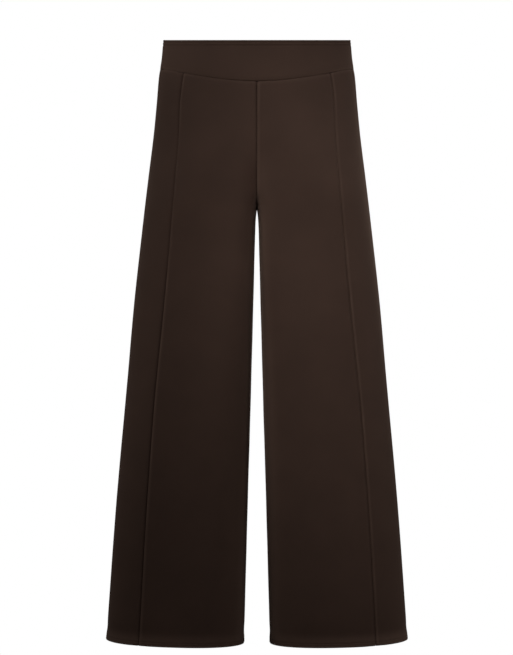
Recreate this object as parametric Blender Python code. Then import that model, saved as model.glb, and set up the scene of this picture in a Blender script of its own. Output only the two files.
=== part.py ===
"""Straight-leg pull-on trousers in a firm double knit, hollow as when they are worn.

They are the eight pieces that a maker cuts: a front and a back waistband, and for each leg a
centre front, a side front and a back. Every piece is a wall of cloth on one shared surface. That
surface is a stack of level ovals, one stack for each leg. Down the leg an oval is whole, and it is
the leg's tube. Above the crotch its middle moves to the middle plane, which cuts it, and the two
halves meet there in the rise seam. Metres, +Z up, front towards -Y. The origin is the middle of
the waist opening, and "drop" is the distance below it.
"""

import math

import bpy
import numpy as np

CLOTH = 0.0015  # the knit's wall
BAND_WALL = 0.0030  # the waistband is two layers of it round an elastic
HEM_WALL = 0.0028  # the turned-up hem is two layers
SEAM_GAP = 0.0003  # between two pieces at a seam

CROTCH_DROP = 0.268
HEM_DROP = 0.9622
HEM_DEPTH = 0.020
HEM_RISE = 0.0065  # the hem is this much higher at the outer side of the leg
HEM_RISE_STARTS = 0.76
SQUARENESS = 2.25  # 2 is an ellipse, and more is squarer; the inner half has its own, below

SPREAD_STARTS = 0.100  # where the ovals begin to move apart
SPREAD_AT_CROTCH = 0.20  # how fast they part at the crotch, in metres for each metre down
NICK = 0.0024  # the legs part by this much at once under the crotch, each side,
NICK_DEPTH = 0.0138  # over about this depth,
LEG_GAP_SLOPE = 0.0262  # and then by this much for each metre

WAIST_TILT_FRONT = 0.1435  # the waist edge falls this much for each metre forwards
WAIST_TILT_BACK = 0.115
BAND_DROP = 0.0488  # the waistband's lower edge at the side seams
BAND_FRONT_DIP = 0.0291  # how much lower it is at the centre front, in a soft V
BAND_BACK_DIP = 0.0032
DIP_POWER = 1.5
DIP_ENDS = 0.17

CORNER_IN = 0.012  # a panel's columns gather this near the seam at the crotch,
CORNER_FAN = 0.125  # and this much further from it for each metre up
CORNER_COLUMNS = 4
DIP_PASSES = 4

# Level sections: half_width reaches from the middle plane to the outer side, and front and back
# from the side seams' plane. inner_square is the squareness of the half that faces the other leg:
# under the crotch the thighs of the trousers press their inner sides flat against each other.
SECTIONS = {
    "drop":       (0.000, 0.030, 0.060, 0.100, 0.156, 0.220, 0.268, 0.316, 0.412, 0.540, 0.732, 0.965),
    "half_width": (.1495, .1520, .1564, .1599, .1656, .1736, .1793, .1847, .1952, .2066, .2241, .2412),
    "front":      (.0980, .1000, .1030, .1065, .1080, .1045, .1000, .0950, .0880, .0800, .0755, .0740),
    "back":       (.1000, .1020, .1065, .1150, .1240, .1265, .1200, .1100, .0960, .0870, .0850, .0850),
    "inner_square": (2.25, 2.25, 2.25, 2.25, 2.25, 5.00, 7.00, 6.20, 4.60, 3.40, 2.70, 2.25),
}

# Where the seams lie: the front panel seam as a share of the half width, and the side seam as an
# angle forwards of the outer side, in degrees.
SEAMS = {
    "drop":        (0.000, 0.050, 0.075, 0.100, 0.156, 0.300, 0.420, 0.560, 0.740, 0.965),
    "panel_share": (0.722, 0.722, 0.742, 0.752, 0.740, 0.733, 0.740, 0.766, 0.772, 0.772),
    "side_angle":  (17.00, 17.00, 14.00, 10.00, 4.000, 0.000, 0.000, 0.000, 0.000, 0.000),
}

# The long soft folds of the hanging legs. angle is 0 at the outer side, -90 at the front, 90 at
# the back and 180 at the inside. A trough has a negative height.
FOLDS = {
    "leg":        (-1, -1, 1, 1, -1, 1, -1, 1, -1, 1),
    "angle":      (-122, -80, -125, -78, 60, 66, 118, 124, 92, 95),
    "half_angle": (20, 22, 22, 24, 20, 18, 22, 20, 16, 18),
    "top":        (0.34, 0.46, 0.34, 0.50, 0.40, 0.46, 0.36, 0.42, 0.30, 0.28),
    "bottom":     (0.99, 1.00, 0.99, 1.05, 1.00, 1.05, 0.98, 1.00, 0.70, 0.66),
    "height":     (.0030, -.0020, -.0028, .0018, .0030, .0026, .0026, .0030, -.0024, -.0028),
}

# Panels and bands: the divisions along each piece and down it.
CENTRE_FRONT_ACROSS = 11
SIDE_FRONT_ACROSS = 6
BACK_ACROSS = 16
BAND_ACROSS = 26
BAND_DOWN = 3
RISE_ROWS = 9
LEG_ROWS = 12
ROWS_CLOSE_UP = 1.35  # how much closer the leg's rows stand near the crotch

CLOTH_COLOR = (0.034, 0.021, 0.016, 1.0)
BAND_COLOR = (0.037, 0.023, 0.018, 1.0)


def along(table, column, drop):
    """The table's column at these drops, on a smooth curve through its rows."""
    x = np.array(table["drop"], float)
    y = np.array(table[column], float)
    slope = np.gradient(y, x)
    at = np.clip(drop, x[0], x[-1])
    i = np.clip(np.searchsorted(x, at, side="right") - 1, 0, len(x) - 2)
    span = x[i + 1] - x[i]
    t = (at - x[i]) / span
    start = (1 + 2 * t) * (1 - t) ** 2 * y[i] + t * (1 - t) ** 2 * span * slope[i]
    end = t * t * (3 - 2 * t) * y[i + 1] - t * t * (1 - t) * span * slope[i + 1]
    return start + end


def ease(x):
    """0 below 0, 1 above 1, and smooth between."""
    x = np.clip(x, 0.0, 1.0)
    return x * x * (3 - 2 * x)


def inner_side(drop):
    """Where the ovals' inner side lies: past the middle plane above the crotch, down to the far
    side of the body, and in the gap between the legs below it. One smooth curve."""
    half_width = along(SECTIONS, "half_width", drop)
    depth = CROTCH_DROP - SPREAD_STARTS
    t = np.clip((drop - SPREAD_STARTS) / depth, 0, 1)
    share = 2 * t**3 - 3 * t**2 + 1
    above = SEAM_GAP / 2 * t - half_width * share + SPREAD_AT_CROTCH * depth * (t**3 - t**2)
    under = np.maximum(drop - CROTCH_DROP, 0)
    below = NICK * (1 - np.exp(-under / NICK_DEPTH)) + LEG_GAP_SLOPE * under
    return np.where(drop < CROTCH_DROP, above, below + SEAM_GAP / 2)


def oval(drop):
    """Each level oval's middle and half width across, and its middle and half depth."""
    outer_side = along(SECTIONS, "half_width", drop)
    inner = inner_side(drop)
    front = along(SECTIONS, "front", drop)
    back = along(SECTIONS, "back", drop)
    return (outer_side + inner) / 2, (outer_side - inner) / 2, (back - front) / 2, (back + front) / 2


def angle_at(x, drop):
    """The angle from the outer side, either way, at which the oval is x from the middle plane."""
    middle, half, _, _ = oval(drop)
    u = np.clip((x - middle) / half, -1, 1)
    power = np.where(u < 0, along(SECTIONS, "inner_square", drop), SQUARENESS)
    return np.arctan2((1 - np.abs(u) ** power) ** (1 / power), u)


def fold_height(angle, drop, leg):
    """How far the soft folds lift the cloth of one leg (-1 or 1) off its oval."""
    total = 0.0
    for side, at, half, top, bottom, height in zip(
        *(FOLDS[k] for k in ("leg", "angle", "half_angle", "top", "bottom", "height")), strict=True
    ):
        if side != leg:
            continue
        across = np.exp(-(((np.degrees(angle) - at) / half) ** 2))
        reach = (drop - top) / (bottom - top)
        total = total + height * across * ease(2.2 * reach) * ease(4 * (1 - reach))
    return total


def surface(angle, drop, leg):
    """Points on the outer face of the cloth, for the leg at +X; leg gives only the folds."""
    middle, half, middle_y, half_y = oval(drop)
    across, forward = np.cos(angle), np.sin(angle)
    power = np.where(across < 0, along(SECTIONS, "inner_square", drop), SQUARENESS)
    scale = (np.abs(across) ** power + np.abs(forward) ** power) ** (-1 / power)
    lift = 1 + fold_height(angle, drop, leg) / half_y
    x = middle + half * scale * across * lift
    y = middle_y + half_y * scale * forward * lift
    return np.stack([x, y, -drop], axis=-1)


def inward(angle, drop, leg):
    """The unit normal into the hollow, from small steps along and down the surface."""
    step = 1e-4
    round_it = surface(angle + step, drop, leg) - surface(angle - step, drop, leg)
    down = surface(angle, drop + step, leg) - surface(angle, drop - step, leg)
    normal = np.cross(round_it, down)
    return normal / np.linalg.norm(normal, axis=-1, keepdims=True)


def band_drop(angle, drop):
    """The waistband's lower edge: level at the sides, with a V in front and a slight dip behind."""
    x = surface(angle, drop, 0)[..., 0]
    share = np.clip(np.abs(x) / along(SECTIONS, "half_width", drop), 0, 1)
    dip = np.where(np.sin(angle) < 0, BAND_FRONT_DIP, BAND_BACK_DIP)
    return BAND_DROP + dip * (1 - share**DIP_POWER)


def waist_drop(angle):
    """The waist edge lies on a plane that falls towards the front."""
    y = surface(angle, np.zeros_like(angle), 0)[..., 1]
    return -y * np.where(y < 0, WAIST_TILT_FRONT, WAIST_TILT_BACK)


def front_edge(drop):
    """The angle of the piece's edge along the centre front and, below the crotch, the inseam."""
    half_y = oval(drop)[3]
    return -np.minimum(angle_at(SEAM_GAP / 2, drop), math.pi - SEAM_GAP / 2 / half_y)


def back_edge(drop):
    return -front_edge(drop)


def panel_seam(drop, shift=0.0):
    """The angle of the seam down the front of the leg, moved by shift metres."""
    x = along(SEAMS, "panel_share", drop) * along(SECTIONS, "half_width", drop)
    return -angle_at(x, drop) + shift / oval(drop)[1]


def side_seam(drop, shift=0.0):
    return -np.radians(along(SEAMS, "side_angle", drop)) + shift / oval(drop)[3]


def panel_rows():
    """The drops of a panel's rows at the side seam: closer together towards the crotch, and with
    two rows where the turned-up hem begins."""
    top = BAND_DROP + SEAM_GAP
    rise = [CROTCH_DROP - (CROTCH_DROP - top) * (1 - i / RISE_ROWS) ** 2 for i in range(RISE_ROWS)]
    hem_top = HEM_DROP - HEM_DEPTH
    shares = [(i / LEG_ROWS) ** ROWS_CLOSE_UP for i in range(LEG_ROWS)]
    leg = [CROTCH_DROP + (hem_top - CROTCH_DROP) * share for share in shares]
    return np.array(rise + leg + [hem_top, hem_top + CLOTH, HEM_DROP])


def corner_line(drop):
    """The angle, either way, of a line just outside the crotch seam, and below the crotch just
    round the corner from the leg's inner side, where that seam runs under and leaves it."""
    above = np.maximum(CROTCH_DROP - drop, 0)
    return angle_at(CORNER_IN + CORNER_FAN * above + np.maximum(inner_side(drop), 0), drop)


def between(first, last, share, corner, corner_share):
    """Angles from first to last: even steps up to the corner's angle, and even steps past it."""
    to_corner = first + (corner - first) * share / corner_share
    past_it = corner + (last - corner) * (share - corner_share) / (1 - corner_share)
    return np.where(share < corner_share, to_corner, past_it)


def panel_grid(first_edge, last_edge, across, leg):
    """Outer and inner points of one leg panel between two edges, rows down and columns across. A
    row's drop depends on its angles, and they on its drop, so they are worked out in turn."""
    level = panel_rows()[:, None]
    share = np.linspace(0, 1, across + 1)[None, :]

    def angle_for(drop):
        first, last = first_edge(drop), last_edge(drop)
        if first_edge is front_edge:
            return between(first, last, share, -corner_line(drop), CORNER_COLUMNS / across)
        if last_edge is back_edge:
            return between(last, first, 1 - share, corner_line(drop), CORNER_COLUMNS / across)
        return first * (1 - share) + last * share

    drop = level + 0 * share
    middle, half, _, _ = oval(level)
    for _ in range(DIP_PASSES):
        angle = angle_for(drop)
        x = surface(angle, level + 0 * share, 0)[..., 0]
        waist_dip = band_drop(angle, level + 0 * share) - BAND_DROP
        hem_rise = HEM_RISE * np.clip((x - middle + half) / (2 * half), 0, 1)
        drop = (
            level
            + waist_dip * (1 - ease((level - BAND_DROP) / (DIP_ENDS - BAND_DROP)))
            - hem_rise * ease((level - HEM_RISE_STARTS) / (HEM_DROP - HEM_RISE_STARTS))
        )
    angle = angle_for(drop)
    wall = np.where(level > HEM_DROP - HEM_DEPTH + CLOTH / 2, HEM_WALL, CLOTH)[..., None]
    outer = surface(angle, drop, leg)
    return outer, outer + inward(angle, drop, leg) * wall


def band_grid(first_angle, last_angle):
    """Outer and inner points of a waistband between two angles, rows down and columns round."""
    angle = np.linspace(first_angle, last_angle, BAND_ACROSS + 1)[None, :]
    top = waist_drop(angle)
    bottom = band_drop(angle, BAND_DROP + 0 * angle)
    share = np.linspace(0, 1, BAND_DOWN + 1)[:, None]
    drop = top * (1 - share) + bottom * share
    angle = angle + 0 * drop
    outer = surface(angle, drop, 0)
    return outer, outer + inward(angle, drop, 0) * BAND_WALL


def knit_material(name, color):
    """A matte knit with a faint sheen."""
    material = bpy.data.materials.new(name)
    material.use_nodes = True
    shader = material.node_tree.nodes["Principled BSDF"]
    shader.inputs["Base Color"].default_value = color
    shader.inputs["Roughness"].default_value = 0.85
    shader.inputs["Metallic"].default_value = 0.0
    shader.inputs["Sheen Weight"].default_value = 0.15
    material.diffuse_color = color
    return material


def wall(name, outer, inner, mirrored, material):
    """One closed wall between an outer and an inner grid of points, with its four edges."""
    rows, columns, _ = outer.shape
    points = np.concatenate([outer.reshape(-1, 3), inner.reshape(-1, 3)])
    if mirrored:
        points = points * np.array([-1.0, 1.0, 1.0])
    number = np.arange(rows * columns).reshape(rows, columns)
    a, b = number[:-1, :-1].ravel(), number[:-1, 1:].ravel()
    c, d = number[1:, 1:].ravel(), number[1:, :-1].ravel()
    count = rows * columns
    faces = [np.stack([a, d, c, b], axis=1), count + np.stack([a, b, c, d], axis=1)]
    border = np.concatenate([number[0], number[1:, -1], number[-1, -2::-1], number[-2:0:-1, 0]])
    after = np.roll(border, -1)
    faces.append(np.stack([border, after, count + after, count + border], axis=1))
    faces = np.concatenate(faces)
    if mirrored:
        faces = faces[:, ::-1]
    mesh = bpy.data.meshes.new(name)
    mesh.from_pydata(points.tolist(), [], faces.tolist())
    mesh.validate()
    mesh.shade_smooth()
    mesh.set_sharp_from_angle(angle=math.radians(40))
    mesh.materials.append(material)
    piece = bpy.data.objects.new(name, mesh)
    bpy.context.collection.objects.link(piece)
    return piece


for old in list(bpy.data.objects):
    bpy.data.objects.remove(old)

band_material = knit_material("waistband_knit", BAND_COLOR)
half_gap = SEAM_GAP / 2
side_angle = float(side_seam(np.array(BAND_DROP)))
gap_angle = half_gap / float(oval(np.array(BAND_DROP))[3])
wall(
    "waistband_front",
    *band_grid(-math.pi - side_angle + gap_angle, side_angle - gap_angle),
    False,
    band_material,
)
wall(
    "waistband_back",
    *band_grid(side_angle + gap_angle, math.pi - side_angle - gap_angle),
    False,
    band_material,
)

for side_name, leg in (("right", -1), ("left", 1)):
    # The wearer's right leg is at -X, the mirror image of the one that the formulas give.
    pieces = (
        ("centre_front", front_edge, lambda d: panel_seam(d, -half_gap), CENTRE_FRONT_ACROSS),
        (
            "side_front",
            lambda d: panel_seam(d, half_gap),
            lambda d: side_seam(d, -half_gap),
            SIDE_FRONT_ACROSS,
        ),
        ("back", lambda d: side_seam(d, half_gap), back_edge, BACK_ACROSS),
    )
    for piece_name, first_edge, last_edge, across in pieces:
        name = f"{piece_name}_{side_name}"
        outer, inner = panel_grid(first_edge, last_edge, across, leg)
        wall(name, outer, inner, leg < 0, knit_material(name + "_knit", CLOTH_COLOR))
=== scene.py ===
import math

import bpy
import numpy as np
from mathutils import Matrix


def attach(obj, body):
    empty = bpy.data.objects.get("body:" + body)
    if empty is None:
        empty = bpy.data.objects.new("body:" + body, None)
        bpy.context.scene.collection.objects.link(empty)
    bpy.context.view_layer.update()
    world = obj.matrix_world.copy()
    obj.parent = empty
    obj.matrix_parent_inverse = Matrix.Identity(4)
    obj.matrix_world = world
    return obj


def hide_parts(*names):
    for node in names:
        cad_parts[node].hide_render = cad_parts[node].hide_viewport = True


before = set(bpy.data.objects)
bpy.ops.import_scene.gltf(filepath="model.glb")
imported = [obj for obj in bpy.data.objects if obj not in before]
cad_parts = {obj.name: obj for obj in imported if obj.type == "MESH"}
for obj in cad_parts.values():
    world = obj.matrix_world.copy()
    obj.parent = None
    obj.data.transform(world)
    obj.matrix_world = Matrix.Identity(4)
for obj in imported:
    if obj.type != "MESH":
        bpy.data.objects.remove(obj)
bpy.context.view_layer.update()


# ---------------------------------------------------------------------------------------------
# The centre fronts. Two mirrored panels of firm, matte double knit, sewn to each other along the
# rise and each to its back along the inseam. Their seam allowances are pressed back on the inside,
# and their hems are turned up in the same cloth.
# ---------------------------------------------------------------------------------------------

# All the panels lie on one form, here for the leg at +X. A "drop" is a distance below the middle
# of the waist. An angle is 0 at the leg's outer side, -90 degrees in front, 90 behind and 180 at
# its inner side. Lengths are in metres.
CROTCH_DROP = 0.268
HEM_DROP = 0.9622
SQUARENESS = 2.25  # 2 makes an ellipse, and more a squarer oval
SPREAD_STARTS = 0.100  # above this drop one oval goes round the whole body
SPREAD_AT_CROTCH = 0.20  # the inner side's slope where it gets to the middle plane
SEAM_GAP = 0.0003  # between the two legs at the crotch
NICK = 0.0018  # each leg turns away from the other by this much soon below the crotch,
NICK_DEPTH = 0.0115  # within about this depth,
LEG_GAP_SLOPE = 0.0270  # and by this much for each metre down to the hem
SMALL_STEP = 1e-4  # for slopes

# The form from the waist to the hem: how far its outer side is from the middle plane, how far it
# reaches in front and behind, and the squareness of its inner side, which faces the other leg.
LEVELS = {
    "drop":         (0.000, 0.030, 0.060, 0.100, 0.156, 0.220, 0.268, 0.316, 0.412, 0.540, 0.732, 0.965),
    "half_width":   (.1495, .1520, .1564, .1599, .1656, .1736, .1793, .1847, .1952, .2066, .2241, .2412),
    "front":        (.0980, .1000, .1030, .1065, .1080, .1045, .1000, .0950, .0880, .0800, .0755, .0740),
    "back":         (.1000, .1020, .1065, .1150, .1240, .1265, .1200, .1100, .0960, .0870, .0850, .0850),
    "inner_square": (2.250, 2.250, 2.250, 2.250, 2.250, 7.000, 12.00, 8.600, 5.200, 3.500, 2.700, 2.250),
}


def along(table, column, drop):
    """The table's column at these drops: cubic pieces through its rows, with the mean slope of the
    straight pieces on either side at each."""
    x, y = np.array(table["drop"]), np.array(table[column])
    slope = np.gradient(y, x)
    at = np.clip(drop, x[0], x[-1])
    i = np.clip(np.searchsorted(x, at, side="right") - 1, 0, len(x) - 2)
    span = x[i + 1] - x[i]
    t = (at - x[i]) / span
    start = (1 + 2 * t) * (1 - t) ** 2 * y[i] + t * (1 - t) ** 2 * span * slope[i]
    end = t * t * (3 - 2 * t) * y[i + 1] - t * t * (1 - t) * span * slope[i + 1]
    return start + end


def ease(x):
    """0 below 0, 1 above 1, and the cubic 3x^2 - 2x^3 between."""
    x = np.clip(x, 0.0, 1.0)
    return x * x * (3 - 2 * x)


def bell(distance, reach):
    """The bell curve of a distance: the exponential of minus the square of distance / reach."""
    return np.exp(-((distance / reach) ** 2))


def oval(drop):
    """Middle and half width across, then middle and half depth, of the level oval at each drop. Its
    inner side runs from the far side of the body to the middle plane at the crotch, by a cubic, and
    then down the gap between the legs, which opens fast at first and evenly from there."""
    outer = along(LEVELS, "half_width", drop)
    front = along(LEVELS, "front", drop)
    back = along(LEVELS, "back", drop)
    depth = CROTCH_DROP - SPREAD_STARTS
    t = np.clip((drop - SPREAD_STARTS) / depth, 0, 1)
    above = SEAM_GAP / 2 * t - outer * (2 * t**3 - 3 * t**2 + 1)
    above = above + SPREAD_AT_CROTCH * depth * (t**3 - t**2)
    under = np.maximum(drop - CROTCH_DROP, 0)
    below = SEAM_GAP / 2 + NICK * (1 - np.exp(-under / NICK_DEPTH)) + LEG_GAP_SLOPE * under
    inner = np.where(drop < CROTCH_DROP, above, below)
    return (outer + inner) / 2, (outer - inner) / 2, (back - front) / 2, (back + front) / 2


def inner_side(drop):
    """How far the leg's inner side is from the middle plane, and 0 above the crotch."""
    middle, half, _, _ = oval(drop)
    return np.maximum(middle - half, 0)


def outward_share(x, drop):
    """The share of the way from the leg's inner side to its outer side at which x lies."""
    middle, half, _, _ = oval(drop)
    return np.clip((x - middle + half) / (2 * half), 0, 1)


def angle_at(x, drop):
    """The angle from the outer side at which the oval is x from the middle plane."""
    middle, half, _, _ = oval(drop)
    u = np.clip((x - middle) / half, -1, 1)
    power = np.where(u < 0, along(LEVELS, "inner_square", drop), SQUARENESS)
    return np.arctan2((1 - np.abs(u) ** power) ** (1 / power), u)


# The soft ridges and troughs of the hanging cloth, a row for each: the leg (-1 is the wearer's
# right), the angle in degrees, how many degrees it reaches either way, the drops between which it
# runs, and its height, which is negative in a trough.
CREASES = (
    (-1, -122, 20, 0.34, 0.99, 0.0030),
    (-1, -80, 22, 0.46, 1.00, -0.0020),
    (1, -125, 22, 0.34, 0.99, -0.0028),
    (1, -78, 24, 0.50, 1.05, 0.0018),
    (-1, 60, 20, 0.40, 1.00, 0.0030),
    (1, 66, 18, 0.46, 1.05, 0.0026),
    (-1, 118, 22, 0.36, 0.98, 0.0026),
    (1, 124, 20, 0.42, 1.00, 0.0030),
    (-1, 92, 16, 0.30, 0.70, -0.0024),
    (1, 95, 18, 0.28, 0.66, -0.0028),
)
NO_LEG = 0  # it has no crease
CREASE_GROWS = 1 / 2.2  # the share of its length over which a crease comes up,
CREASE_DIES = 1 / 4  # and over which it ends


def crease_height(angle, drop, leg):
    """The creases' heights added up: each is a bell curve across, and eases in and out along its
    length."""
    total = 0.0 * angle
    for side, middle, reach, top, bottom, height in CREASES:
        if side != leg:
            continue
        t = (drop - top) / (bottom - top)
        across = bell(np.degrees(angle) - middle, reach)
        total = total + height * across * ease(t / CREASE_GROWS) * ease((1 - t) / CREASE_DIES)
    return total


def surface(angle, drop, leg):
    """Points of the garment's outer form: at each drop a superellipse, squarer on the side that
    faces the other leg, which the creases lift away from its middle."""
    middle, half, middle_y, half_y = oval(drop)
    across, forward = np.cos(angle), np.sin(angle)
    power = np.where(across < 0, along(LEVELS, "inner_square", drop), SQUARENESS)
    scale = (np.abs(across) ** power + np.abs(forward) ** power) ** (-1 / power)
    lift = 1 + crease_height(angle, drop, leg) / half_y
    x = middle + half * scale * across * lift
    y = middle_y + half_y * scale * forward * lift
    return np.stack([x, y, -drop], axis=-1)


def plain_x(angle, drop):
    """How far the form without its creases is from the middle plane."""
    return surface(angle, drop, NO_LEG)[..., 0]


def inward(angle, drop, leg):
    """The unit normal into the hollow: the cross product of small steps round and down the form."""
    round_it = surface(angle + SMALL_STEP, drop, leg) - surface(angle - SMALL_STEP, drop, leg)
    down = surface(angle, drop + SMALL_STEP, leg) - surface(angle, drop - SMALL_STEP, leg)
    normal = np.cross(round_it, down)
    return normal / np.linalg.norm(normal, axis=-1, keepdims=True)


def metres_a_radian(angle, drop):
    """How fast the form's outline is crossed there, from a small step each way."""
    way = surface(angle + SMALL_STEP, drop, NO_LEG) - surface(angle - SMALL_STEP, drop, NO_LEG)
    return np.linalg.norm(way, axis=-1) / (2 * SMALL_STEP)


# The seams. The panel seam down the front is given as a share of the half width, and the side seam
# in degrees forwards of the outer side.
SEAM_LINES = {
    "drop":        (0.000, 0.050, 0.075, 0.100, 0.156, 0.300, 0.420, 0.560, 0.740, 0.965),
    "panel_share": (0.722, 0.722, 0.742, 0.752, 0.740, 0.733, 0.740, 0.766, 0.772, 0.772),
    "side_angle":  (17.00, 17.00, 14.00, 10.00, 4.000, 0.000, 0.000, 0.000, 0.000, 0.000),
}
RISE_UNDER = 0.0018  # within this much above the crotch the rise runs under the body
CORNER_IN = 0.009  # the leg's corner is this far from the rise at the crotch,
CORNER_FAN = 0.125  # and this much further from it for each metre up
WAIST_SEAM_DROP = 0.0488  # at the sides
WAIST_SEAM_FRONT_DIP = 0.0294  # how much lower it is in the middle of the front,
WAIST_SEAM_BACK_DIP = 0.0032  # and in the middle of the back
WAIST_SEAM_POWER = 1.9  # 1 makes a straight V, and 2 a rounder one


def back_edge(drop):
    """The centre back and, below the crotch, the inseam at 180 degrees. Just above the crotch it
    runs from the one to the other, level under the body, in even steps."""
    under = np.clip(1 - (CROTCH_DROP - drop) / RISE_UNDER, 0, 1)
    rise = angle_at(0.0, np.minimum(drop, CROTCH_DROP - RISE_UNDER))
    return rise * (1 - under) + math.pi * under


def front_edge(drop):
    """The centre front and the inseam: the back edge's mirror image."""
    return -back_edge(drop)


def panel_seam(drop):
    """The seam down the front of the leg, at its share of the half width."""
    share = along(SEAM_LINES, "panel_share", drop)
    return -angle_at(share * along(LEVELS, "half_width", drop), drop)


def side_seam(drop):
    """The seam down the outer side."""
    return -np.radians(along(SEAM_LINES, "side_angle", drop))


def corner_line(drop):
    """The angle, either way, of a line just outside the rise seam, which below the crotch runs down
    the corner of the leg, while the seam itself goes on under the body to the leg's inner side."""
    above = np.maximum(CROTCH_DROP - drop, 0)
    return angle_at(CORNER_IN + CORNER_FAN * above + inner_side(drop), drop)


def waist_seam(angle, drop):
    """The waist seam's drop: level at the sides, with a V in front and a slight dip behind, each as
    1 minus a power of the share of the half width."""
    share = np.clip(np.abs(plain_x(angle, drop)) / along(LEVELS, "half_width", drop), 0, 1)
    dip = np.where(np.sin(angle) < 0, WAIST_SEAM_FRONT_DIP, WAIST_SEAM_BACK_DIP)
    return WAIST_SEAM_DROP + dip * (1 - share**WAIST_SEAM_POWER)


# The cloth as it is folded: its thickness, its turnings, and how closely its mesh is spaced.
CLOTH = 0.0013
PRESSED_GAP = 0.0002  # between a panel and its pressed-back allowance
SEAM_BITE = 0.00003  # the stitching presses the turned edges this far past the seam's middle
ALLOWANCE = 0.010
WAIST_ALLOWANCE = 0.008
HEM_DEPTH = 0.020
TURN = np.linspace(0, math.pi, 11)  # the mesh's angles round a turned edge
TURN_MIDDLE = len(TURN) // 2
TURN_SQUARENESS = 3.0  # 2 turns in a round, and more in a sharper, pressed edge
STEP_GROWTH = 1.35  # from each step of the mesh to the next one
STEPS_ACROSS = (0.0006, 0.0042)  # the finest and the coarsest step from seam to seam,
STEPS_TO_CROTCH = (0.0006, 0.0045)  # from the waist down,
STEPS_TO_HEM = (0.0007, 0.0046)  # and from the crotch down
ALLOWANCE_STEPS = 4
ALLOWANCE_FLAT_ENDS = 0.0012  # an allowance's last flat column is this far from its turn
NEAR_CROTCH = 0.030  # from this much above the crotch the rows draw closer,
NEAR_CROTCH_ROWS = 11
NEAR_CROTCH_POWER = 1.8  # their distance from it falls off with this power
RISE_UNDER_ROWS = 20  # and they stand closest where the rise runs under the body
HEM_LINES_UP = 0.009  # rows stand close this far up from the hem's edge too
HEM_LINES_ROWS = 12
WAIST_EDGE_STARTS = 0.002  # the flat rows of the turned-in waist edge start this far from its turn,
HEM_EDGE_STARTS = 0.001  # and those of the turned-up hem this far
HEM_EDGE_ROWS = 8
KEEP_CLEAR = 0.030  # over this length rows make way for the fold at their end


def graded(length, finest, coarsest):
    """Places from 0 to length whose steps grow by STEP_GROWTH from finest at each end to coarsest
    between, all scaled to fit the length."""
    steps = [finest]
    while sum(steps) < length / 2:
        steps.append(min(steps[-1] * STEP_GROWTH, coarsest))
    steps = np.array(steps + steps[::-1])
    places = np.concatenate([[0.0], np.cumsum(steps)])
    return places * length / places[-1]


def pressed_turn(angle):
    """The cosine and sine of a turn with squarer shoulders: each to the power 2 / TURN_SQUARENESS,
    with its sign."""
    cosine, sine = np.cos(angle), np.sin(angle)
    power = 2 / TURN_SQUARENESS
    return np.sign(cosine) * np.abs(cosine) ** power, np.sign(sine) * np.abs(sine) ** power


def columns_across(width, steps, turn, allowance_steps):
    """The cloth's right side and wrong side from cut edge to cut edge, as three numbers a column:
    the share of the way between the two seams, the distance from the nearer seam, and the depth.
    An allowance lies flat, the cloth turns back at the seam by the turn's angles, and crosses to
    the other. Without allowance steps it begins and ends in its turns."""
    back, out = pressed_turn(turn)
    fold = CLOTH + PRESSED_GAP / 2
    middle = graded(width, *steps)[1:-1] / width
    sides = []
    for radius in (fold, fold - CLOTH):
        flat = np.linspace(ALLOWANCE, fold + ALLOWANCE_FLAT_ENDS, allowance_steps)
        near = np.concatenate([flat, fold - radius * out]) - SEAM_BITE
        depth = np.concatenate([fold + radius + 0 * flat, fold + radius * back])
        share = np.concatenate([0 * near, middle, 0 * near + 1])
        depth = np.concatenate([depth, 0 * middle + fold - radius, depth[::-1]])
        near = np.concatenate([near, 0 * middle + near[-1], near[::-1]])
        sides.append((share, near, depth))
    return sides


def rows_down():
    """A panel from the cut edge at the waist seam to the cut edge of the hem, as three numbers a
    row: the level, which end it keeps clear of (1 the top, -1 the hem), and the angle of the fold
    that it is in or past. Rows stand close where the cloth turns, and where the rise runs under."""
    top = WAIST_SEAM_DROP - SEAM_BITE
    under_starts = CROTCH_DROP - RISE_UNDER
    nearer = (1 - np.linspace(0, 1, NEAR_CROTCH_ROWS)[1:]) ** NEAR_CROTCH_POWER
    hem_lines = HEM_DROP - HEM_LINES_UP
    flat = np.concatenate([
        top + graded(CROTCH_DROP - NEAR_CROTCH - top, *STEPS_TO_CROTCH),
        under_starts - (NEAR_CROTCH - RISE_UNDER) * nearer,
        np.linspace(under_starts, CROTCH_DROP, RISE_UNDER_ROWS)[1:-1],
        CROTCH_DROP + graded(hem_lines - CROTCH_DROP, *STEPS_TO_HEM),
        np.linspace(hem_lines, HEM_DROP, HEM_LINES_ROWS)[1:],
    ])
    waist_edge = top + np.linspace(WAIST_ALLOWANCE, WAIST_EDGE_STARTS, ALLOWANCE_STEPS)
    hem_edge = HEM_DROP - np.linspace(HEM_EDGE_STARTS, HEM_DEPTH, HEM_EDGE_ROWS)
    level = np.concatenate([
        waist_edge, top + 0 * TURN[1:], flat[1:-1], HEM_DROP + 0 * TURN[:-1], hem_edge
    ])
    folded = np.concatenate([
        -math.pi + 0 * waist_edge, -TURN[:0:-1], 0 * flat[1:-1], TURN[:-1], math.pi + 0 * hem_edge
    ])
    clear_of_waist = 1 - ease((level - top) / KEEP_CLEAR)
    clear_of_hem = ease((level - HEM_DROP + KEEP_CLEAR) / KEEP_CLEAR)
    clear = np.where(level < CROTCH_DROP, clear_of_waist, -clear_of_hem)
    clear = np.where(folded < 0, 1.0, np.where(folded > 0, -1.0, clear))
    return level[:, None], clear[:, None], folded[:, None]


DIP_ENDS = 0.17  # rows dip with the waist seam, less and less down to this drop
HEM_RISE = 0.0065  # the hem is this much higher at the leg's outer side,
HEM_RISE_STARTS = 0.76  # and rows rise with it from this drop down
DOUBLED_PAST = 0.005  # a fold is still one layer deep this far past the edge of an allowance,
DOUBLED_OVER = 0.004  # and grows two deep over this length towards it


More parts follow.
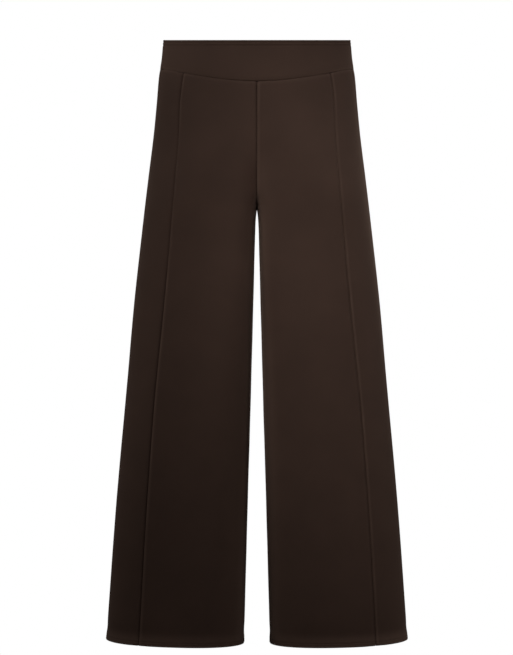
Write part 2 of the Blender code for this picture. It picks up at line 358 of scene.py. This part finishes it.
def panel_place(angle, level):
    """A panel row's drop: its level, plus the waist seam's dip, which fades by DIP_ENDS, less the
    rise of the hem towards the leg's outer side."""
    rise = HEM_RISE * outward_share(plain_x(angle, level), level)
    dip = waist_seam(angle, level) - WAIST_SEAM_DROP
    dip = dip * (1 - ease((level - WAIST_SEAM_DROP) / (DIP_ENDS - WAIST_SEAM_DROP)))
    return level + dip - rise * ease((level - HEM_RISE_STARTS) / (HEM_DROP - HEM_RISE_STARTS))


def panel_fold(from_seam, _level, _folded):
    """How deep the centre of the top and hem folds lies: under one layer of cloth, or under two
    within reach of a pressed-back allowance."""
    single = CLOTH + PRESSED_GAP / 2
    double = 2 * CLOTH + 1.5 * PRESSED_GAP
    return single + (double - single) * ease((ALLOWANCE + DOUBLED_PAST - from_seam) / DOUBLED_OVER)


# The long seams. Their allowances are all pressed the same way round, which in front is towards the
# wearer's left, so that side of each stands out. That side is given a painted highlight, and the seam's
# other side painted shade.
SEAM_SINK = 0.0011  # the cloth sinks towards every pressed seam,
SEAM_SINK_REACH = 0.0030
RISE_SINK = 0.0008  # and this much more towards the rise,
RISE_SINK_ENDS = 0.030  # though less and less from this much above the crotch
SEAM_RIDGE = 0.0005  # how far the side with the allowances stands out,
SEAM_RIDGE_AT = 0.0028  # this far from the seam
SEAM_RIDGE_REACH = 0.0019
# painted highlight beside each seam, on the side that stands out
SEAM_PALER = 0.8
SEAM_DARKER = 0.7  # painted shade on the seam's other side, as a share of SEAM_PALER
RIDGE_AT_HIP = 0.40  # the ridge's strength at the hip, and 1 along the rise
RIDGE_MORE = 0.45  # what it gains above the hip and down the leg
RIDGE_ABOVE_HIP = (0.15, 0.05)  # the drop where that starts, and the length that it takes,
RIDGE_DOWN_LEG = (0.28, 0.16)
RIDGE_WAVER = 0.13  # the sewing makes it waver by this much,
RIDGE_WAVES = 73  # by so many radians for each metre,
RIDGE_SHIFT = 2  # out of step by this much for each leg
CROTCH_EVEN = 0.014  # sink and ridge fade this near the crotch, where the rise turns under
THIGH_EVEN_STARTS = 0.020  # and the sink down the inner thigh, fully from this far below it,
THIGH_EVEN_ENDS = (0.72, 0.12)  # to this drop, less and less over the last length
INNER_SIDE_REACH = 0.010  # how far this goes to either side of a leg's inner side


def by_inner_side(x, drop):
    """1 at the leg's inner side, or at the middle plane above the crotch, and less away from it."""
    return bell(x - inner_side(drop), INNER_SIDE_REACH)


def ridge_strength(drop, leg):
    """Least at the hip, easing up above it and down the leg, plus a sine."""
    above, above_length = RIDGE_ABOVE_HIP
    below, below_length = RIDGE_DOWN_LEG
    more = RIDGE_MORE * (ease((drop - below) / below_length) + ease((above - drop) / above_length))
    return RIDGE_AT_HIP + more + RIDGE_WAVER * np.sin(RIDGE_WAVES * drop + RIDGE_SHIFT * leg)


def seam_relief(from_first, from_last, x, drop, leg):
    """How much deeper the cloth lies by its long seams, and how much paler or darker it is painted. It
    sinks towards them as a bell curve, and stands out beside them as another, with a painted highlight
    there and painted shade on the seam's other side."""
    by_crotch = bell(np.hypot(x, drop - CROTCH_DROP), CROTCH_EVEN)
    by_rise = bell(x, SEAM_SINK_REACH) * ease((CROTCH_DROP - drop) / RISE_SINK_ENDS)
    ends, ends_length = THIGH_EVEN_ENDS
    on_thigh = ease((drop - CROTCH_DROP) / THIGH_EVEN_STARTS) * ease((ends - drop) / ends_length)
    by_seam = bell(np.minimum(from_first, from_last), SEAM_SINK_REACH) * (1 - by_crotch)
    by_seam = by_seam * (1 - by_inner_side(x, drop) * on_thigh)
    proud, shaded = (from_first, from_last) if leg > 0 else (from_last, from_first)
    ridge = bell(proud - SEAM_RIDGE_AT, SEAM_RIDGE_REACH) * (1 - by_crotch)
    strength = ridge_strength(drop, leg)
    strength = strength + (1 - strength) * by_rise
    sink = SEAM_SINK * by_seam + RISE_SINK * by_rise - SEAM_RIDGE * strength * ridge
    # painted highlight on the side that stands out, painted shade on the other
    paler = SEAM_PALER * strength * (ridge - SEAM_DARKER * bell(shaded, SEAM_RIDGE_REACH))
    return sink, paler


WAIST_SINK = 0.0008
WAIST_SINK_REACH = 0.0036
WAIST_SINK_LESS = 0.7  # how much of that is lost at the sides,
WAIST_SEAM_PALER = 0.6  # and how much paler the seam is painted there, a painted highlight


def waist_relief(angle, drop):
    """The same by the waist seam: a bell curve, shallower and with more painted highlight towards the
    sides by the square of the share of the half width."""
    side_share = (plain_x(angle, drop) / along(LEVELS, "half_width", drop)) ** 2
    by_seam = bell(drop - waist_seam(angle, WAIST_SEAM_DROP + 0 * angle), WAIST_SINK_REACH)
    sink = WAIST_SINK * (1 - WAIST_SINK_LESS * side_share) * by_seam
    return sink, WAIST_SEAM_PALER * side_share * by_seam


HEM_FLARE = 0.0009  # the doubled hem stands out this much,
HEM_DENT = 0.0004  # and its stitching draws the cloth in along its top
HEM_DENT_REACH = 0.009
HEM_PALER = (0.7, 1.5)  # painted light towards the hem's edge, at the leg's inner and outer side,
HEM_PALER_UP = 0.025  # up to this height
HEM_CREASES_UP = (0.0036, 0.0068)  # pressed lines just above the edge
HEM_CREASE = 0.0003
HEM_CREASE_REACH = 0.0010
# painted shade along the pressed lines
HEM_CREASE_DARKER = 0.5


def above_hem(x, drop):
    """The height above the hem, which rises towards the leg's outer side."""
    return HEM_DROP - HEM_RISE * outward_share(x, drop) - drop


def hem_relief(x, drop):
    """The same at the hem: drawn in along its stitching as a bell curve, flared below it, with two
    pressed lines darkened by painted shade, and painted light towards its edge."""
    up = above_hem(x, drop)
    inner, outer = HEM_PALER
    sink = HEM_DENT * bell(up - HEM_DEPTH, HEM_DENT_REACH) - HEM_FLARE * ease(1 - up / HEM_DEPTH)
    paler = (inner + (outer - inner) * outward_share(x, drop)) * ease(1 - up / HEM_PALER_UP)
    for crease_up in HEM_CREASES_UP:
        crease = bell(up - crease_up, HEM_CREASE_REACH)
        sink = sink + HEM_CREASE * crease
        paler = paler - HEM_CREASE_DARKER * crease
    return sink, paler


THIGH_PALER = 0.9  # the cloth is painted paler down the inner thighs, a painted rim light,
THIGH_STARTS = (0.006, 0.05)  # from this far above the crotch, coming up over this length,
LOWER_LEG_PALER = {-1: 1.4, 1: 2.2}  # more so lower down the right and the left leg,
LOWER_LEG_STARTS = (0.42, 0.16)  # from this drop, coming up over this length,
FORK_PALER = 1.6  # and most where the legs meet, painted light over the shade there,
FORK_UP = 0.002  # this far above the crotch
FORK_REACH_ACROSS = 0.0045
FORK_REACH_DOWN = 0.010
RISE_PALER = {-1: -0.40, 1: 0.32}  # painted shade a little to the right of the rise and a painted highlight to the left,
RISE_PALER_AT = 0.005  # this far from it
RISE_PALER_REACH = 0.016
RISE_PALER_STARTS = (0.17, 0.06)  # from this drop, coming up over this length,
RISE_PALER_ENDS = (0.42, 0.12)  # to this drop, less and less over the last length


def painted_light_near_fork(x, drop, leg):
    """How much paler or darker the cloth is painted at the fork, down the legs' inner sides and beside
    the rise, as painted light and shade: bell curves across, which ease in and out on their way down."""
    above, length = THIGH_STARTS
    on_thigh = by_inner_side(x, drop) * ease((drop - CROTCH_DROP + above) / length)
    starts, length = LOWER_LEG_STARTS
    strength = THIGH_PALER + (LOWER_LEG_PALER[leg] - THIGH_PALER) * ease((drop - starts) / length)
    above_edge = 1 - ease(1 - above_hem(x, drop) / HEM_PALER_UP)
    at_fork = bell(x, FORK_REACH_ACROSS) * bell(drop - CROTCH_DROP + FORK_UP, FORK_REACH_DOWN)
    starts, length = RISE_PALER_STARTS
    ends, ends_length = RISE_PALER_ENDS
    by_rise = bell(x - RISE_PALER_AT, RISE_PALER_REACH) * ease((drop - starts) / length)
    by_rise = by_rise * ease((ends - drop) / ends_length)
    return strength * on_thigh * above_edge + FORK_PALER * at_fork + RISE_PALER[leg] * by_rise


def panel_relief(from_first, from_last, angle, drop, leg):
    """How much deeper than the form a panel lies, and how much paler or darker than the rest it is
    painted: what its seams, the waist seam, the hem and the painted light and shade by the fork, thighs
    and rise make of it, added up."""
    x = plain_x(angle, drop)
    reliefs = (
        seam_relief(from_first, from_last, x, drop, leg),
        waist_relief(angle, drop),
        hem_relief(x, drop),
        (0.0, painted_light_near_fork(x, drop, leg)),
    )
    return sum(sink for sink, _ in reliefs), sum(paler for _, paler in reliefs)


DIP_PASSES = 3


def between(first, last, share, corner, corner_share):
    """Angles from first to last: even steps up to the corner's angle, and even steps past it."""
    to_corner = first + (corner - first) * share / corner_share
    past_it = corner + (last - corner) * (share - corner_share) / (1 - corner_share)
    return np.where(share < corner_share, to_corner, past_it)


def lay_cloth(side, rows, first_edge, last_edge, corner, place, fold, relief, leg):
    """Points of one side of a sewn piece, how far each is from the first and the last edge, and how
    much paler than the rest it is. A column lies between the two edges by its share, and off the
    nearer seam by its distance over the outline's speed there. A row in or past a fold of depth f
    and angle a goes from depth d to f - (f - d) cos a, and on past the fold by (f - d) sin a, with
    the cosine and sine of a pressed turn. A row's drop and its angles depend on each other, so they
    are worked out in turn."""
    share, near, depth = (column[None, :] for column in side)
    level, clear, folded = rows
    back, out = pressed_turn(folded)

    def across(drop):
        """Each column's angle at these drops."""
        first, last = first_edge(drop), last_edge(drop)
        start = first + near / metres_a_radian(first, drop)
        end = last - near / metres_a_radian(last, drop)
        if corner is None:
            return start * (1 - share) + end * share
        corner_end, corner_share = corner
        if corner_end == "first":
            return between(start, end, share, -corner_line(drop), corner_share)
        return between(end, start, 1 - share, corner_line(drop), corner_share)

    def from_edges(angle, drop):
        """How far round these angles are from the first and from the last edge."""
        first, last = first_edge(drop), last_edge(drop)
        from_first = (angle - first) * metres_a_radian(first, drop)
        return from_first, (last - angle) * metres_a_radian(last, drop)

    level = level + 0 * share
    drop = level
    for _ in range(DIP_PASSES):
        angle = across(drop)
        centre = fold(np.minimum(*from_edges(angle, level)), level, folded)
        drop = place(angle, level) + clear * centre + (centre - depth) * out
    angle = across(drop)
    from_first, from_last = from_edges(angle, drop)
    sink, paler = relief(from_first, from_last, angle, drop, leg)
    depth = centre - (centre - depth) * back + sink
    points = surface(angle, drop, leg) + inward(angle, drop, leg) * depth[..., None]
    return points, from_first, from_last, paler


MEET_REACH = 0.007  # the rise's turned edge is drawn over within about this distance,
MEET_FADE = 0.0015  # and within this depth below the crotch


def meet_middle(points, from_rise, target):
    """Draws the turned edge of a rise seam against the middle plane. There the form meets the plane
    at a slant, so the whole turn lies off it: each row moves by what its least x is off the target,
    fading as a bell curve away from the seam, and just below the crotch."""
    near = np.where(from_rise < 2 * MEET_REACH, points[..., 0], np.inf)
    gap = near.min(axis=1, keepdims=True) - target
    above = ease(1 + (CROTCH_DROP + 2 * SEAM_GAP + points[..., 2]) / MEET_FADE)
    moved = points.copy()
    moved[..., 0] -= gap * above * bell(from_rise, MEET_REACH)
    return moved


SHARP_FROM = 48  # degrees between two faces


def sewn_mesh(name, right, wrong, paler, mirrored, material):
    """One closed piece of cloth from the grids of points of its right and its wrong side, joined along
    the cut edges. Its UV map is the distance in metres along each row from the middle column, and down
    that column. The right side carries its painted light and shade, how much paler or darker it is
    painted, as an attribute."""
    rows, columns, _ = right.shape
    count = rows * columns
    points = np.concatenate([right.reshape(-1, 3), wrong.reshape(-1, 3)])
    if mirrored:
        points = points * np.array([-1.0, 1.0, 1.0])
    number = np.arange(count).reshape(rows, columns)
    a, b = number[:-1, :-1].ravel(), number[:-1, 1:].ravel()
    c, d = number[1:, 1:].ravel(), number[1:, :-1].ravel()
    border = np.concatenate([number[0], number[1:, -1], number[-1, -2::-1], number[-2:0:-1, 0]])
    after = np.roll(border, -1)
    faces = np.concatenate([
        np.stack([a, d, c, b], axis=1),
        count + np.stack([a, b, c, d], axis=1),
        np.stack([border, after, count + after, count + border], axis=1),
    ])
    if mirrored:
        faces = faces[:, ::-1]
    mesh = bpy.data.meshes.new(name)
    mesh.from_pydata(points.tolist(), [], faces.tolist())
    across = np.linalg.norm(np.diff(right, axis=1), axis=-1).cumsum(axis=1)
    across = np.pad(across, ((0, 0), (1, 0)))
    across = across - across[:, columns // 2][:, None]
    down = np.linalg.norm(np.diff(right[:, columns // 2], axis=0), axis=-1).cumsum()
    down = np.pad(down, (1, 0))[:, None] + 0 * across
    uv = np.stack([across.ravel(), -down.ravel()], axis=1)
    uv = np.concatenate([uv, uv])[faces.ravel()]
    layer = mesh.uv_layers.new(name="cloth")
    layer.data.foreach_set("uv", uv.astype(np.float32).ravel())
    # painted light and shade: how much paler or darker each point of the right side is painted
    pressed = mesh.attributes.new("painted_light_and_shade", "FLOAT", "POINT")
    pressed.data.foreach_set("value", np.concatenate([paler.ravel(), 0 * paler.ravel()]))
    mesh.shade_smooth()
    mesh.set_sharp_from_angle(angle=math.radians(SHARP_FROM))
    mesh.materials.append(material)
    piece = bpy.data.objects.new(name, mesh)
    bpy.context.scene.collection.objects.link(piece)
    return piece


LEG_DARK = (0.0356, 0.0194, 0.0134, 1.0)
LEG_LIGHT = (0.0486, 0.0265, 0.0183, 1.0)
PAINTED_LIGHT_TINT = (0.0230, 0.0155, 0.0118)  # the colour added for painted light, and taken away for painted shade
WALE = 0.0011  # a column of stitches
COURSE = 0.0009  # a row of them
YARN_LEAN = 0.45  # how many rows a yarn falls from the groove to the middle of its column
COLUMN_ROUND = 0.6  # the power of the column's cross section
YARN_HEIGHT = 0.3  # a yarn's share of the stitches' relief, and the column has the rest
FIBRE_SCALE = 2600
FIBRE_DETAIL = 2
FIBRE_HEIGHT = 0.5  # beside the stitches' 1
CLOUD_SCALE = 24
CLOUD_DETAIL = 3
RELIEF_STRENGTH = 0.5
RELIEF_HEIGHT = 0.00012
SHADE_SHARES = {"stitch": 0.25, "fibre": 0.5, "cloud": 0.6}
SHADE_DARKEST = 0.35  # the cloth is dark where they add up to this,
SHADE_LIGHTEST = 1.05  # and light where they add up to this
KNIT_FINISH = {
    "Roughness": 0.85,
    "Specular IOR Level": 0.15,
    "Sheen Weight": 0.15,
    "Sheen Roughness": 0.40,
    "Sheen Tint": (0.80, 0.55, 0.43, 1.0),
}


def knit_cloth(name, dark, light):
    """A matte double knit: columns of V stitches in relief on the piece's own UV map, a fibre mottle and
    a faint cloudiness of colour between dark and light, and a soft sheen of fuzz. The painted light and
    shade that each piece carries is added to its colour."""
    material = bpy.data.materials.new(name)
    material.use_nodes = True
    nodes, links = material.node_tree.nodes, material.node_tree.links
    shader = nodes["Principled BSDF"]
    for socket_name, value in KNIT_FINISH.items():
        shader.inputs[socket_name].default_value = value
    place = nodes.new("ShaderNodeTexCoord")

    def math_node(kind, *values):
        """A sum worked out from numbers and other nodes' results."""
        node = nodes.new("ShaderNodeMath")
        node.operation = kind
        for socket, value in zip(node.inputs, values):
            if isinstance(value, (int, float)):
                socket.default_value = value
            else:
                links.new(value, socket)
        return node.outputs[0]

    def noise(scale, detail):
        """Noise on the Object coordinates."""
        node = nodes.new("ShaderNodeTexNoise")
        node.inputs["Scale"].default_value = scale
        node.inputs["Detail"].default_value = detail
        links.new(place.outputs["Object"], node.inputs["Vector"])
        return node.outputs["Fac"]

    split = nodes.new("ShaderNodeSeparateXYZ")
    links.new(place.outputs["UV"], split.inputs[0])
    wale = math_node("MULTIPLY", split.outputs["X"], 1 / WALE)
    from_groove = math_node("MULTIPLY", math_node("PINGPONG", wale, 0.5), 2.0)
    course = math_node("MULTIPLY", split.outputs["Y"], 1 / COURSE)
    lean = math_node("MULTIPLY_ADD", from_groove, YARN_LEAN, course)
    yarn = math_node("SINE", math_node("MULTIPLY", lean, 2 * math.pi))
    ridge = math_node("POWER", from_groove, COLUMN_ROUND)
    stitch = math_node("MULTIPLY_ADD", yarn, YARN_HEIGHT, 1 - YARN_HEIGHT)
    stitch = math_node("MULTIPLY", ridge, stitch)
    fibre = noise(FIBRE_SCALE, FIBRE_DETAIL)
    cloud = noise(CLOUD_SCALE, CLOUD_DETAIL)
    relief = math_node("MULTIPLY_ADD", fibre, FIBRE_HEIGHT, stitch)
    bump = nodes.new("ShaderNodeBump")
    bump.inputs["Strength"].default_value = RELIEF_STRENGTH
    bump.inputs["Distance"].default_value = RELIEF_HEIGHT
    links.new(relief, bump.inputs["Height"])
    links.new(bump.outputs["Normal"], shader.inputs["Normal"])

    shade = math_node("MULTIPLY", fibre, SHADE_SHARES["fibre"])
    shade = math_node("MULTIPLY_ADD", stitch, SHADE_SHARES["stitch"], shade)
    shade = math_node("MULTIPLY_ADD", cloud, SHADE_SHARES["cloud"], shade)
    colour = nodes.new("ShaderNodeMapRange")
    colour.data_type = "FLOAT_VECTOR"
    source, darkest, lightest, to_dark, to_light = colour.inputs[6:11]  # its sockets for vectors
    darkest.default_value = (SHADE_DARKEST,) * 3
    lightest.default_value = (SHADE_LIGHTEST,) * 3
    to_dark.default_value = dark[:3]
    to_light.default_value = light[:3]
    links.new(shade, source)
    # painted light and shade: the piece's attribute times the tint, added to the colour
    pressed = nodes.new("ShaderNodeAttribute")
    pressed.attribute_name = "painted_light_and_shade"
    paler = nodes.new("ShaderNodeVectorMath")
    paler.operation = "MULTIPLY_ADD"
    paler.inputs[1].default_value = PAINTED_LIGHT_TINT
    links.new(pressed.outputs["Fac"], paler.inputs[0])
    links.new(colour.outputs[1], paler.inputs[2])
    links.new(paler.outputs[0], shader.inputs["Base Color"])
    material.diffuse_color = light
    return material


leg_knit = knit_cloth("leg_knit", LEG_DARK, LEG_LIGHT)


def sew_panel(kind, leg, first_edge, last_edge, width, corner=None):
    """A leg panel in place of its solid: its two sides laid between its seams and joined. The mesh is
    spaced for a mean width. The corner is the end with the rise seam, and the share of the columns up to
    the leg's corner there."""
    side_name = "right" if leg < 0 else "left"
    rows = rows_down()
    sides = []
    columns = columns_across(width, STEPS_ACROSS, TURN, ALLOWANCE_STEPS)
    for side, target in zip(columns, (-SEAM_BITE, CLOTH - SEAM_BITE)):
        points, from_first, from_last, paler = lay_cloth(
            side, rows, first_edge, last_edge, corner, panel_place, panel_fold, panel_relief, leg
        )
        if corner is not None:
            from_rise = from_first if corner[0] == "first" else from_last
            points = meet_middle(points, from_rise, target)
        sides.append((points, paler))
    (right, paler), (wrong, _) = sides
    piece = sewn_mesh(f"{kind}_panel_{side_name}", right, wrong, paler, leg < 0, leg_knit)
    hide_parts(f"{kind}_{side_name}")
    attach(piece, "root")


for leg in (-1, 1):
    sew_panel(
        "centre_front", leg, front_edge, panel_seam,
        width=0.165, corner=("first", 0.46),
    )


# ---------------------------------------------------------------------------------------------
# The side fronts. Two narrow mirrored panels of the same knit, each sewn to its centre front along
# the seam down the front of the leg, which is almost straight, and to its back at the side seam.
# ---------------------------------------------------------------------------------------------

for leg in (-1, 1):
    sew_panel("side_front", leg, panel_seam, side_seam, width=0.095)


# ---------------------------------------------------------------------------------------------
# The backs. Two wide mirrored panels of the same knit, from the side seam round to the inseam,
# and sewn to each other along the centre back above the crotch.
# ---------------------------------------------------------------------------------------------

for leg in (-1, 1):
    sew_panel(
        "back", leg, side_seam, back_edge,
        width=0.30, corner=("last", 0.32),
    )


# ---------------------------------------------------------------------------------------------
# The waistband. A wide band of the same knit, cut as a front and a back and folded over an elastic
# along the waist, so that both are two layers. Their ends meet in the side seams, and the outer
# layer is sewn to the trousers along its lower edge, in a soft V in front.
# ---------------------------------------------------------------------------------------------

# a lighter copy of the legs' colours for the same knit, as painted light on the band
BAND_DARK = (0.0384, 0.0210, 0.0145, 1.0)
BAND_LIGHT = (0.0519, 0.0284, 0.0196, 1.0)
WAIST_TILT_FRONT = 0.1435
WAIST_TILT_BACK = 0.115
BAND_FOLD = 0.0017  # the depth of the fold's centre, with the elastic inside
BAND_INNER_PAST = 0.12  # the inner layer ends this share of the band's height past the waist seam,
BAND_BOW = 0.0021  # where it bows further in, over the waist seam's allowances,
BAND_BOW_STARTS = (0.72, 0.20)  # from this share of the height, coming up over this share
BAND_STITCHES_DOWN = (0.0036, 0.0084)  # the elastic is caught along lines this far below the edge
BAND_STITCH_SINK = 0.0005
BAND_STITCH_REACH = 0.0012
# painted shade along the lines of stitching
BAND_STITCH_DARKER = 0.35
BAND_STEPS_ACROSS = (0.0006, 0.0045)
BAND_INNER_ROWS = 24
BAND_TOP = 0.21  # rows stand evenly over this share of the height, for the elastic's stitching,
BAND_TOP_ROWS = 15
BAND_STEPS_DOWN = (0.008, 0.045)  # and the steps below are these shares
BAND_KEEP_CLEAR = 0.4  # over this share rows make way for the fold at their end


def waist_drop(angle):
    """The waist edge's drop: it lies on a plane that falls towards the front, and on a flatter one
    that rises behind."""
    y = surface(angle, 0 * angle, NO_LEG)[..., 1]
    return -y * np.where(y < 0, WAIST_TILT_FRONT, WAIST_TILT_BACK)


def band_place(angle, level):
    """The drop at a share of the way from the waist edge to the waist seam."""
    bottom = waist_seam(angle, WAIST_SEAM_DROP + 0 * angle) + SEAM_BITE
    return waist_drop(angle) * (1 - level) + bottom * level


def band_fold(_from_seam, level, folded):
    """The depth of the fold's centre, which eases further in down the inner layer."""
    starts, length = BAND_BOW_STARTS
    inner = folded <= -math.pi
    return BAND_FOLD + np.where(inner, BAND_BOW * ease((level - starts) / length), 0.0)


def band_relief(_from_first, _from_last, angle, drop, _leg):
    """The band sinks at the waist seam, and as a bell curve along each line of the elastic's stitching,
    where painted shade makes it darker."""
    sink, paler = waist_relief(angle, drop)
    for down in BAND_STITCHES_DOWN:
        stitch = bell(drop - waist_drop(angle) - down, BAND_STITCH_REACH)
        sink = sink + BAND_STITCH_SINK * stitch
        paler = paler - BAND_STITCH_DARKER * stitch
    return sink, paler


def band_rows():
    """The band from the lower edge of its inner layer up, over the elastic and down the outer layer
    to its turned-in lower edge. The level is the share of the way from waist edge to waist seam."""
    quarter = TURN[1 : TURN_MIDDLE + 1]
    inner = np.linspace(1 + BAND_INNER_PAST, 0, BAND_INNER_ROWS)
    lower = BAND_TOP + graded(1 - BAND_TOP, *BAND_STEPS_DOWN)
    outer = np.concatenate([np.linspace(0, BAND_TOP, BAND_TOP_ROWS)[:-1], lower])
    level = np.concatenate([inner, 0 * TURN[1:-1], outer, 1 + 0 * quarter])
    folded = np.concatenate([-math.pi + 0 * inner, -TURN[-2:0:-1], 0 * outer, quarter])
    clear_of_waist = 1 - ease(level / BAND_KEEP_CLEAR)
    clear_of_seam = ease((level - 1 + BAND_KEEP_CLEAR) / BAND_KEEP_CLEAR)
    clear = np.where((level < 0.5) | (folded < 0), clear_of_waist, -clear_of_seam)
    return level[:, None], clear[:, None], folded[:, None]


def sew_band(half, first, last, width):
    """A half of the waistband in place of its solid, laid between two angles and joined. Its ends
    turn in a quarter only, since their seam is trimmed inside."""
    sides = []
    for side in columns_across(width, BAND_STEPS_ACROSS, TURN[TURN_MIDDLE:], 0):
        points, _, _, paler = lay_cloth(
            side, band_rows(), lambda drop: first + 0 * drop, lambda drop: last + 0 * drop,
            None, band_place, band_fold, band_relief, NO_LEG,
        )
        sides.append((points, paler))
    (right, paler), (wrong, _) = sides
    band = sewn_mesh(f"waistband_{half}_band", right, wrong, paler, False, band_knit)
    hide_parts(f"waistband_{half}")
    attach(band, "root")


band_knit = knit_cloth("waistband_knit", BAND_DARK, BAND_LIGHT)
left_side = float(side_seam(np.array(WAIST_SEAM_DROP)))  # the angles of the side seams
right_side = -math.pi - left_side
sew_band("front", right_side, left_side, width=0.38)
sew_band("back", left_side, right_side + 2 * math.pi, width=0.50)


# ---------------------------------------------------------------------------------------------
# The room. A plain white floor under the hem, a white surround, soft lights, and the camera, level
# with the middle of the trousers.
# ---------------------------------------------------------------------------------------------

FLOOR_DROP = 1.04
FLOOR_REACH = 6.0
FLOOR_LIGHT = 0.097  # what the floor sheds on the trousers, beside the 1 that is seen,
SURROUND_LIGHT = 0.06  # and the surround
SPOT_RADIUS = 0.12
LAMP_WIDTH = 0.45
CAMERA_AWAY = 3.2
VIEW_HEIGHT = 1.046  # of what the camera sees at the trousers
SENSOR = 36.0  # in millimetres
CAMERA_X = -0.0007
CAMERA_Z = -0.4592

# A name, where the light stands, what it is turned to, its cone in degrees and its watts.
LIGHTS = (
    ("front", (0.0, -1.7, 0.9), (0.10, 0.0, -0.30), 16, 91.6),
    ("left_to_leg", (-0.8, -1.5, 0.7), (0.14, 0.0, -0.60), 16, 64.5),
    ("left_to_waist", (-1.2, -0.45, 0.3), (0.11, 0.0, 0.05), 16, 30.0),
    ("left_to_hem", (-1.2, -0.45, 0.3), (0.17, 0.0, -0.90), 16, 8.9),
    ("right_to_hem", (0.9, -1.3, 0.7), (0.17, 0.0, -0.90), 16, 22.2),
    ("right_to_leg", (1.5, -0.6, 0.4), (0.14, 0.0, -0.60), 16, 9.5),
    ("left_fill", (-1.6, -0.8, 0.6), (0.0, 0.0, -0.25), 0, 11.5),
    ("right_fill", (1.6, -0.8, 0.1), (0.0, 0.0, -0.25), 0, 6.7),
    ("right_top", (1.6, -0.35, 1.1), (0.0, 0.0, -0.25), 0, 6.8),
    ("top", (0.0, -0.9, 2.0), (0.0, 0.0, -0.25), 0, 8.0),
    ("back", (0.15, 2.2, 0.6), (0.0, 0.0, -0.40), 0, 60.0),
)


def shown_white(tree, shader, light):
    """White where the camera sees it, and a dimmer light to everything else."""
    path = tree.nodes.new("ShaderNodeLightPath")
    strength = tree.nodes.new("ShaderNodeMapRange")
    strength.inputs["To Min"].default_value = light
    strength.inputs["To Max"].default_value = 1.0
    tree.links.new(path.outputs["Is Camera Ray"], strength.inputs["Value"])
    tree.links.new(strength.outputs[0], shader.inputs["Strength"])


world = bpy.data.worlds.new("surround")
world.use_nodes = True
background = world.node_tree.nodes["Background"]
background.inputs["Color"].default_value = (1.0, 1.0, 1.0, 1.0)
shown_white(world.node_tree, background, SURROUND_LIGHT)
bpy.context.scene.world = world

floor_corners = [
    (across * FLOOR_REACH, away * FLOOR_REACH, -FLOOR_DROP)
    for across, away in ((-1, -1), (1, -1), (1, 1), (-1, 1))
]
floor_mesh = bpy.data.meshes.new("floor")
floor_mesh.from_pydata(floor_corners, [], [(0, 1, 2, 3)])
floor_material = bpy.data.materials.new("white_floor")
floor_material.use_nodes = True
floor_tree = floor_material.node_tree
floor_tree.nodes.remove(floor_tree.nodes["Principled BSDF"])
floor_glow = floor_tree.nodes.new("ShaderNodeEmission")
shown_white(floor_tree, floor_glow, FLOOR_LIGHT)
floor_tree.links.new(floor_glow.outputs[0], floor_tree.nodes["Material Output"].inputs["Surface"])
floor_mesh.materials.append(floor_material)
floor = bpy.data.objects.new("floor", floor_mesh)
bpy.context.scene.collection.objects.link(floor)


def soft_light(name, place, aim, cone, watts):
    """A light at a place, turned to its aim: a soft spot, or a square lamp if it has no cone."""
    if cone:
        lamp = bpy.data.lights.new(name, "SPOT")
        lamp.spot_size = math.radians(cone)
        lamp.spot_blend = 1.0
        lamp.shadow_soft_size = SPOT_RADIUS
    else:
        lamp = bpy.data.lights.new(name, "AREA")
        lamp.size = LAMP_WIDTH
    lamp.energy = watts
    light = bpy.data.objects.new(name, lamp)
    way = np.array(aim) - np.array(place)
    light.location = place
    light.rotation_euler = (
        math.atan2(math.hypot(way[0], way[1]), -way[2]),
        0.0,
        math.atan2(-way[0], way[1]),
    )
    bpy.context.scene.collection.objects.link(light)


for light_row in LIGHTS:
    soft_light(*light_row)

camera_data = bpy.data.cameras.new("camera")
camera_data.sensor_width = SENSOR
camera_data.lens = SENSOR * CAMERA_AWAY / VIEW_HEIGHT
camera = bpy.data.objects.new("camera", camera_data)
camera.location = (CAMERA_X, -CAMERA_AWAY, CAMERA_Z)
camera.rotation_euler = (math.pi / 2, 0.0, 0.0)
bpy.context.scene.collection.objects.link(camera)
bpy.context.scene.camera = camera
bpy.context.scene.view_settings.view_transform = "Standard"
